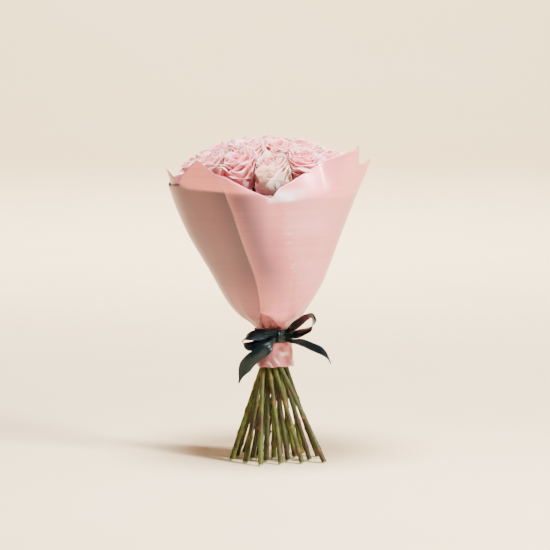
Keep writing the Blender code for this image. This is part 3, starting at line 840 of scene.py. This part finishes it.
def sheet_points(angle, z, offset):
    """Points of a sheet at these angles and heights, moved out by the offset."""
    cone, end = rounded(RADII, z), 0.014
    radius = cone + pleats(angle, z) + drapes(angle, z) + offset
    for line, width, rise in FOLDS:
        arc = (angle - radians(between(line, z))) * cone
        radius = radius + rise * bell(arc, width) * within(z, line[0][0], line[-1][0], end, end)
    return round_line(angle, radius, z, rounded(WRAP_SHIFT, z))


def turned(degrees):
    """The same direction, from -180 to 180 degrees."""
    return (degrees + 180) % 360 - 180


def loose(z):
    """0 where the ribbon holds the sheets, and 1 where they stand free."""
    return ease((z - NECK_TOP) / 0.03)


def hem(angle):
    """The height of the collar's lower edge, which isn't quite level."""
    return COLLAR_Z + 0.0008 * sin(3 * angle + 0.5) + 0.0005 * sin(8 * angle)


def up_the_sheet(v):
    """Shares of a sheet's height, closer together near the ribbon, where its folds are small."""
    return between(((0, 0), (0.45, 0.36), (1, 1)), v)


def layers_and_painted_shade(way, z, under, from_edge, to_end, crease):
    """How deep the outer sheet looks, mostly painted shade, and whether one layer lies alone, from 0 to 1."""
    alone = ease((z - between(INNER_EDGE, way)) / 0.004)
    # Painted shade over the front left, deepest just left of the free edge, lighter low down and where one
    # layer stands alone
    front_left_shade = under * (0.85 + 0.13 * bell(crease, 0.026)) * within(way, -98, -4, 40, 6)
    front_left_shade = front_left_shade * (0.72 + 0.28 * ease((z - 0.225) / 0.08)) * (1 - 0.9 * alone)
    # Painted shade over the flap, across about 60 mm right of its free edge but lighter right at it, 0.22 to
    # 0.425 m up
    flap_shade = ~under * 0.88 * (0.50 + 0.50 * ease(from_edge / 0.025)) * bell(from_edge, 0.060, 4)
    flap_shade = flap_shade * within(z, 0.220, 0.425, 0.09, 0.02)
    # Painted shade below about 0.23 m, where the ribbon draws the film in, and more on the collar below 0.17
    # m
    neck_shade = 0.30 * ease((0.232 - z) / 0.03) + 0.12 * ease((0.172 - z) / 0.03)
    # A painted shadow line about 2 mm wide along the free edge and the far end, full below 0.232 m where they
    # arch over the ribbon
    low = ease((0.232 - z) / 0.004)
    rolled = bell(np.minimum(from_edge, to_end), 0.0020) * ease((z - 0.197) / 0.004)
    rolled = rolled * np.where(under, low, 0.6 + 0.4 * low)
    # A deeper, fuller pink band reaching about 26 degrees left of the pearl line
    pearl_line_band = 0.12 * within(between(PEARL_LINE, z) - way, 0, 26, 1.5, 18) * ease((z - 0.24) / 0.04)
    past = (way - 148 - 60 * (z - 0.3)) % 360
    behind = 0.14 * within(past, 0, 80, 1.5, 60) * ease((z - 0.23) / 0.04)
    # The depth is the deepest of these: painted shade, the band by the pearl line and a darker band round the
    # back
    depth = np.maximum.reduce([front_left_shade, flap_shade, neck_shade, rolled, pearl_line_band, behind])
    return depth, np.clip(alone + 2.2 * pearl_line_band, 0, 1)


def glints(way, z, over, beside):
    """Painted glints and highlights where the film turns up to the light: the bent rim beside the V,
    streaks in the collar, the broken pearl line, painted light to its right and soft sheens round the back."""
    turn = radians(way)
    streaks = 0.5 + 0.5 * sin(0.42 * way + 190 * z)
    rim = beside * within(way, 1, 30, 5, 14) * within(over, 0.001, 0.024, 0.005, 0.010)
    slant = sin(7 * turn + 330 * z + 1.5 * sin(5 * turn))
    patchy = 0.5 + 0.5 * sin(4 * turn - 170 * z + 2)
    collar_glints = 0.6 * ease((0.176 - z) / 0.008) * ease((slant - 0.3) / 0.7) * patchy**2
    past_line = way - between(PEARL_LINE, z)
    broken = ease(sin(760 * z + 2.5 * sin(210 * z)) + 0.4) * (0.6 + 0.4 * sin(130 * z))
    dashes = bell(past_line - 0.8 * sin(330 * z), 1.8) * within(z, 0.27, 0.40, 0.03, 0.01) * broken
    # Painted light paling the front to the right of the pearl line
    right_painted_light = ease(past_line / 2) * ease((78 - way) / 45) * ease((z - 0.24) / 0.05)
    behind = ease((np.abs(way) - 75) / 20) * ease((z - 0.25) / 0.08)
    sheens = behind * ease(2 * sin(7 * turn + 12 * z) - 1) * (0.6 + 0.4 * streaks)
    rim = 0.85 * rim * (0.55 + 0.45 * streaks)
    return np.clip(rim + collar_glints + 0.24 * dashes + 0.045 * right_painted_light + 0.20 * sheens, 0, 1)


def outer_wrap(settings):
    """The outer sheet: once round, with its free edge folded over the front left and lifted in an arch
    above the ribbon."""
    made = flat_grid("wrap_outer_film", 280, 150)
    u, v = grid_shares(made)
    share, v, half_way = (u + 1) / 2, up_the_sheet(v), 0.3
    degrees = between(FREE_EDGE, half_way) * (1 - share) + between(FAR_END, half_way) * share
    # A point's height and its way round depend on each other, so they are brought together in turns
    for _ in range(5):
        bottom = hem(radians(degrees))
        z = bottom + (between(OUTER_EDGE, turned(degrees)) - bottom) * v
        start, end = between(FREE_EDGE, z), between(FAR_END, z)
        degrees = start + share**1.08 * (end - start)
    way, cone, under = turned(degrees), rounded(RADII, z), share > 0.5
    gaps = (degrees - start, end - degrees, start - way)
    from_edge, to_end, crease = [radians(gap) * cone for gap in gaps]
    # The free edge stands proud of the layer under it, and both ends arch over the ribbon
    tight_edge, free_edge, arch_rise, end_rise, rim_slope = 0.0012, 0.0098, 0.0085, 0.0026, 0.60
    stand = tight_edge + free_edge * loose(z) * (1 - 0.6 * ease((z - 0.37) / 0.05))
    proud = stand * bell(from_edge, 0.042) * (1 - 0.7 * np.exp(-from_edge / 0.004))
    arch = (arch_rise * bell(z - 0.215, 0.011) * bell(from_edge, 0.016)
            + end_rise * bell(z - 0.216, 0.010) * bell(to_end, 0.008))
    over, beside = z - between(RIM_BEND, way), within(way, -24, 58, 18, 18)
    lean_in = rim_slope * beside * np.where(over > 0, over**2 / (over + 0.005), 0)
    write_points(made, sheet_points(radians(degrees), z, proud + arch - lean_in))
    # The depth carries painted shade as well as the layers
    depth, single = layers_and_painted_shade(way, z, under, from_edge, to_end, crease)
    give_attribute(made, "film", np.stack([depth, single, glints(way, z, over, beside)], 1))
    finish_sheet(made, 60, 34, settings.thickness)
    return made


def inner_wrap(settings):
    """The inner sheet, closed round the stems inside the outer one."""
    higher, gather, gap, loose_gap, hollowed = 0.0006, 0.0010, 0.0016, 0.0030, 0.0045
    made = flat_grid("wrap_inner_film", 260, 110)
    u, v = grid_shares(made)
    degrees, angle = 180 * u, pi * u
    bottom = hem(angle) + higher
    z = bottom + (between(INNER_EDGE, degrees) - bottom) * up_the_sheet(v)
    hollow = notch(angle, z)
    gathers = gather * hollow * sin(40 * angle + 60 * (z - 0.2))
    write_points(made, sheet_points(angle, z, gathers - gap - loose_gap * loose(z) - hollowed * hollow))
    # The inner sheet is painted darker as shade, most in the hollow of the notch
    give_attribute(made, "film", np.stack([0.25 + 0.35 * hollow, 0 * z, 0 * z], 1))
    merge_seam(made)
    finish_sheet(made, 56, 31, settings.thickness)
    return made


# The ribbon

# How far the knot is turned to the right, and half its width, depth and height
KNOT_ANGLE = radians(18)
KNOT_HALF = (0.0054, 0.0046, 0.0086)
KNOT_LOW, KNOT_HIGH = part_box("ribbon_knot")
KNOT_MIDDLE = np.array((KNOT_LOW + KNOT_HIGH) / 2)
RIGHT = np.array([cos(KNOT_ANGLE), sin(KNOT_ANGLE), 0])
OUTWARDS = np.array([sin(KNOT_ANGLE), -cos(KNOT_ANGLE), 0])
UP = np.array([0, 0, 1])

# Each piece of the bow leaves the knot at a height on its side and runs through (place, way its width
# runs) rows, in metres from the knot's middle. A loop comes back to the knot at a second height.
HIGH, MIDWAY, LOW = 0.0063, 0, -0.0063
LOOP_LEFT = (
    ((-0.016, -0.0055, 0.005), (0, 0.2, 1)),
    ((-0.03, -0.007, 0.0035), (0.05, 0.55, 0.85)),
    ((-0.045, -0.008, 0.001), (0.1, 0.75, 0.65)),
    ((-0.0545, -0.008, -0.0045), (0.3, 0.9, 0.3)),
    ((-0.056, -0.007, -0.0105), (-0.3, 0.9, 0.3)),
    ((-0.048, -0.006, -0.015), (-0.1, 0.8, 0.6)),
    ((-0.034, -0.004, -0.0115), (0, 0.7, 0.7)),
    ((-0.019, -0.001, -0.0055), (0, 0.3, 0.95)),
)
LOOP_RIGHT = (
    ((0.015, -0.005, 0.011), (-0.3, 0.65, 0.65)),
    ((0.027, -0.011, 0.0205), (-0.3, 0.9, 0.38)),
    ((0.038, -0.015, 0.0295), (-0.25, 0.95, 0.32)),
    ((0.0465, -0.016, 0.0325), (0.1, 1, 0.3)),
    ((0.0495, -0.015, 0.0245), (0.4, 1, 0.1)),
    ((0.047, -0.012, 0.015), (0.2, 0.95, 0.3)),
    ((0.036, -0.009, 0.0085), (0, 0.9, 0.45)),
    ((0.022, -0.005, 0.003), (-0.1, 0.65, 0.75)),
)
TAIL_LEFT = (
    ((-0.018, -0.013, -0.015), (-0.5, 0, 1)),
    ((-0.033, -0.017, -0.0255), (-0.6, 0, 1)),
    ((-0.047, -0.015, -0.037), (-0.8, 0, 0.8)),
    ((-0.0565, -0.011, -0.052), (-0.9, 0.3, 0.45)),
    ((-0.0625, -0.007, -0.07), (-0.85, 0.6, 0.25)),
)
TAIL_RIGHT = (
    ((0.018, 0.001, -0.008), (0.1, 0.9, 0.55)),
    ((0.032, 0.001, -0.0112), (0.15, 0.9, 0.38)),
    ((0.047, 0.001, -0.0168), (0.2, 0.9, 0.4)),
    ((0.06, 0, -0.0224), (0.35, 0.9, 0.38)),
    ((0.068, 0, -0.0295), (0.5, 0.9, 0.3)),
    ((0.075, 0, -0.0417), (0.7, 0.8, 0.2)),
)


def ribbon_strip(name, rows, settings, loop, seed):
    """A ribbon through (middle, way of its width) rows, pleated where the knot holds it."""
    tapering, narrowest, spacing, columns, loop_share = 0.030, 0.12, 0.0011, 16, 0.92
    middles = np.array([row[0] for row in rows])
    runs = runs_along(middles)
    length = runs[-1]
    count = int(length / spacing)
    far = np.linspace(0, length, count + 1)
    path = curve_through(runs, middles, far)
    sides = curve_through(runs, np.array([row[1] for row in rows], float), far)
    ahead = unit(np.gradient(path, axis=0))
    sides = unit(sides - (sides * ahead).sum(axis=1)[:, None] * ahead)
    flats = np.cross(ahead, sides)
    from_knot = np.minimum(far, length - far) if loop else far
    opened = 0.30 + 0.70 * ease((from_knot - 0.006) / 0.024)
    half = settings.width / 2 * (loop_share if loop else 1) * opened
    if not loop:
        half = half * (1 - (1 - narrowest) * ease((far - length + tapering) / tapering))
    made = flat_grid(name, columns, count)
    u, v = grid_shares(made)
    row = np.rint(v * count).astype(int)
    held, free = 1 - opened[row], opened[row]
    pleat, cupped, wave = 0.0016, 0.0011, 0.0007
    pleated = pleat * held * sin(3.2 * pi * u + seed)
    waved = free * (cupped * (u**2 - 0.4) + wave * sin(2.5 * u + 90 * far[row] + seed))
    write_points(made, path[row] + sides[row] * (u * half[row])[:, None]
                 + flats[row] * (pleated + waved)[:, None])
    finish_sheet(made, 100 * settings.width, 100 * length, settings.thickness)
    return made


def at_knot(hand, lift):
    """Two rows that hold a strip straight where it leaves the knot, left for -1 and right for 1."""
    side, straight = KNOT_HALF[0] - 0.0015, 0.0055
    return [(KNOT_MIDDLE + hand * (side + far) * RIGHT + lift * UP, UP) for far in (0, straight)]


def satin_knot():
    """The knot: a wad of ribbon pulled round on itself, with the pleats of its turns across it."""
    deselect()
    bpy.ops.mesh.primitive_cube_add(size=2, calc_uvs=True)
    made = added("satin_knot")
    edit_all(bpy.ops.mesh.subdivide, number_cuts=23)
    # Its shape lies between a block and a ball
    points = read_points(made)
    block, ball = 0.42, 0.7076
    x, y, z = (block * points + ball * unit(points)).T
    wraps = 0.12 * sin(8.5 * x + 2.6 * z + 0.9 * sin(3 * z)) * (1 - 0.5 * np.abs(z))
    nips = 0.06 * sin(9 * z + 2 * x)
    sides = (x * KNOT_HALF[0], y * KNOT_HALF[1] * (1 + wraps + nips), z * KNOT_HALF[2])
    write_points(made, KNOT_MIDDLE + np.stack(sides, 1) @ np.array([RIGHT, -OUTWARDS, UP]))
    scale_uv(made, 2, 2)
    smooth(made)
    return made


def satin_band(settings):
    """The ribbon round the neck, creased along its length where it is drawn tight."""
    made = flat_grid("satin_band", 180, 18)
    u, v = grid_shares(made)
    angle, z = pi * u, BAND_LOW.z + (BAND_HIGH.z - BAND_LOW.z) * v
    creases = sin(21 * v + 1.2 * sin(2 * angle) + 0.6 * sin(5 * angle)) * sin(pi * v)
    inset, crease, edge_roll = 0.0009, 0.00045, 0.0004
    radius = BAND_RADIUS - inset + crease * creases - edge_roll * (2 * v - 1) ** 4
    write_points(made, round_line(angle, radius, z))
    merge_seam(made)
    finish_sheet(made, 1.84, 17.5, settings.thickness)
    return made


# Operators


class BUNCH_OT_blooms(bpy.types.Operator):
    """Makes the roses, petal by petal"""
    bl_idname = "bunch.blooms"
    bl_label = "Rose Blooms"

    def execute(self, context):
        settings = context.scene.bunch_roses
        material = petal_material(settings)
        blank = flat_grid("petal_blank", PETAL_COLUMNS, PETAL_ROWS)
        for place in PLACES:
            made = rose_bloom(place, blank, settings)
            hand_over(made, material, f"bloom_{place.number:02d}")
        bpy.data.objects.remove(blank)
        return {"FINISHED"}


class BUNCH_OT_stems(bpy.types.Operator):
    """Makes the stems with their joints, scars, hips and sepals"""
    bl_idname = "bunch.stems"
    bl_label = "Rose Stems"

    def execute(self, context):
        material = stem_material(context.scene.bunch_stems)
        sepal_blank = flat_grid("sepal_blank", 4, 12)
        deselect()
        bpy.ops.mesh.primitive_uv_sphere_add(segments=12, ring_count=8, radius=1)
        bud_blank = added("bud_blank")
        for place in PLACES:
            made = rose_stem(place, sepal_blank, bud_blank)
            hand_over(made, material, f"stem_{place.number:02d}")
        bpy.data.objects.remove(sepal_blank)
        bpy.data.objects.remove(bud_blank)
        return {"FINISHED"}


class BUNCH_OT_tie(bpy.types.Operator):
    """Winds the hidden twine round the stems"""
    bl_idname = "bunch.tie"
    bl_label = "Binding Twine"

    def execute(self, context):
        low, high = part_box("binding_tie")
        middle = (low + high) / 2
        turns, thickness = 3, 0.0019
        radius = (high.x - low.x) / 2 - thickness / 2
        angles = np.linspace(0, tau * turns, 40 * turns)
        rise = (high.z - low.z - thickness) / (tau * turns)
        line = np.stack([middle.x + radius * cos(angles), middle.y + radius * sin(angles),
                         low.z + thickness / 2 + rise * angles], 1)
        made = tube("binding_twine", line, np.full(len(line), thickness / 2), 3)
        smooth(made)
        hand_over(made, twine_material(), "binding_tie")
        return {"FINISHED"}


class BUNCH_OT_wraps(bpy.types.Operator):
    """Wraps both sheets of pearl film round the bunch"""
    bl_idname = "bunch.wraps"
    bl_label = "Pearl Wrap"

    def execute(self, context):
        settings = context.scene.bunch_wraps
        outer, inner = outer_wrap(settings), inner_wrap(settings)
        material = wrap_material(settings)
        hand_over(outer, material, "wrap_outer")
        hand_over(inner, material, "wrap_inner")
        return {"FINISHED"}


class BUNCH_OT_bow(bpy.types.Operator):
    """Ties the satin ribbon: band, knot, two loops and two tails"""
    bl_idname = "bunch.bow"
    bl_label = "Satin Bow"

    def execute(self, context):
        settings = context.scene.bunch_ribbon
        material = satin_material(settings)
        hand_over(satin_knot(), material, "ribbon_knot")
        hand_over(satin_band(settings), material, "ribbon_band")
        for part, hand, start, route, end in (
            ("loop_left", -1, HIGH, LOOP_LEFT, MIDWAY), ("loop_right", 1, HIGH, LOOP_RIGHT, MIDWAY),
            ("tail_left", -1, LOW, TAIL_LEFT, None), ("tail_right", 1, LOW, TAIL_RIGHT, None),
        ):
            rows = at_knot(hand, start) + [(KNOT_MIDDLE + place, way) for place, way in route]
            if end is not None:
                rows += reversed(at_knot(hand, end))
            made = ribbon_strip(f"satin_{part}", rows, settings, end is not None, 2 + hand + start * 90)
            hand_over(made, material, f"ribbon_{part}")
        return {"FINISHED"}


def area_light(name, place, target, size, power, colour):
    """A round soft light that faces its target."""
    bpy.ops.object.light_add(type="AREA", location=place)
    made = added(name)
    made.data.shape, made.data.size, made.data.energy, made.data.color = "DISK", size, power, colour
    made.rotation_euler = (Vector(target) - Vector(place)).to_track_quat("-Z", "Y").to_euler()


class BUNCH_OT_stage(bpy.types.Operator):
    """Adds the pale sweep, the soft lights and the camera"""
    bl_idname = "bunch.stage"
    bl_label = "Studio"

    def execute(self, context):
        settings = context.scene.bunch_stage
        sweep = flat_grid("studio_sweep", 2, 48)
        u, v = grid_shares(sweep)
        half_width, front, back, bend, wall = 9, -9, 7.5, 1.5, 4
        floor_end = back - front - bend
        wall_start = floor_end + pi / 2 * bend
        far = v * (wall_start + wall)
        turn = np.clip((far - floor_end) / bend, 0, pi / 2)
        y = front + np.minimum(far, floor_end) + bend * sin(turn)
        z = bend * (1 - cos(turn)) + np.maximum(far - wall_start, 0)
        write_points(sweep, np.stack([u * half_width, y, z], 1))
        smooth(sweep)
        sweep.data.materials.append(studio_material())

        target = (LINE_X, LINE_Y, 0.28)
        area_light("key_light", (2.1, -1.3, 1.6), target, 0.45, 235, (1, 0.95, 0.89))
        area_light("fill_light", (-2.2, -2, 1.3), target, 1.8, 6, (0.90, 0.93, 1))
        area_light("top_light", (0, -0.35, 2.2), target, 0.7, 158, (1, 0.98, 0.95))
        area_light("backdrop_light", (0, 2.6, 3.4), (0, 7.2, 0.3), 3.2, 950, (1, 0.94, 0.85))
        world = bpy.data.worlds.new("studio_air")
        world.use_nodes = True
        air = world.node_tree.nodes["Background"].inputs
        air["Color"].default_value, air["Strength"].default_value = linear("#F3ECE2"), 0.17
        context.scene.world = world

        lens_pixels, frame_pixels, sensor, aside, tilt = 3020, 550, 36, -0.0053, 83.48
        bpy.ops.object.camera_add(
            location=(LINE_X + aside, LINE_Y - settings.distance, settings.height),
            rotation=(radians(tilt), 0, 0))
        camera = added("front_camera")
        camera.data.sensor_width = sensor
        camera.data.lens = sensor * lens_pixels / frame_pixels
        camera.data.dof.use_dof = False
        context.scene.camera = camera
        return {"FINISHED"}


class BUNCH_PT_panel(bpy.types.Panel):
    """Lists the bunch's operators"""
    bl_idname = "BUNCH_PT_panel"
    bl_label = "Rose Bunch"
    bl_space_type = "VIEW_3D"
    bl_region_type = "UI"
    bl_category = "Rose Bunch"

    def draw(self, context):
        for operator in OPERATORS:
            self.layout.operator(operator.bl_idname)


OPERATORS = (BUNCH_OT_blooms, BUNCH_OT_stems, BUNCH_OT_tie, BUNCH_OT_wraps, BUNCH_OT_bow, BUNCH_OT_stage)
SETTINGS = {
    "bunch_roses": RoseSettings, "bunch_stems": StemSettings, "bunch_wraps": WrapSettings,
    "bunch_ribbon": RibbonSettings, "bunch_stage": StageSettings,
}


def register():
    for group in (*SETTINGS.values(), *OPERATORS, BUNCH_PT_panel):
        bpy.utils.register_class(group)
    for name, group in SETTINGS.items():
        setattr(bpy.types.Scene, name, bpy.props.PointerProperty(type=group))


def unregister():
    for name in SETTINGS:
        delattr(bpy.types.Scene, name)
    for group in reversed((*SETTINGS.values(), *OPERATORS, BUNCH_PT_panel)):
        bpy.utils.unregister_class(group)


def main():
    register()
    bpy.ops.bunch.blooms()
    bpy.ops.bunch.stems()
    bpy.ops.bunch.tie()
    bpy.ops.bunch.wraps()
    bpy.ops.bunch.bow()
    bpy.ops.bunch.stage()


if __name__ == "__main__":
    main()
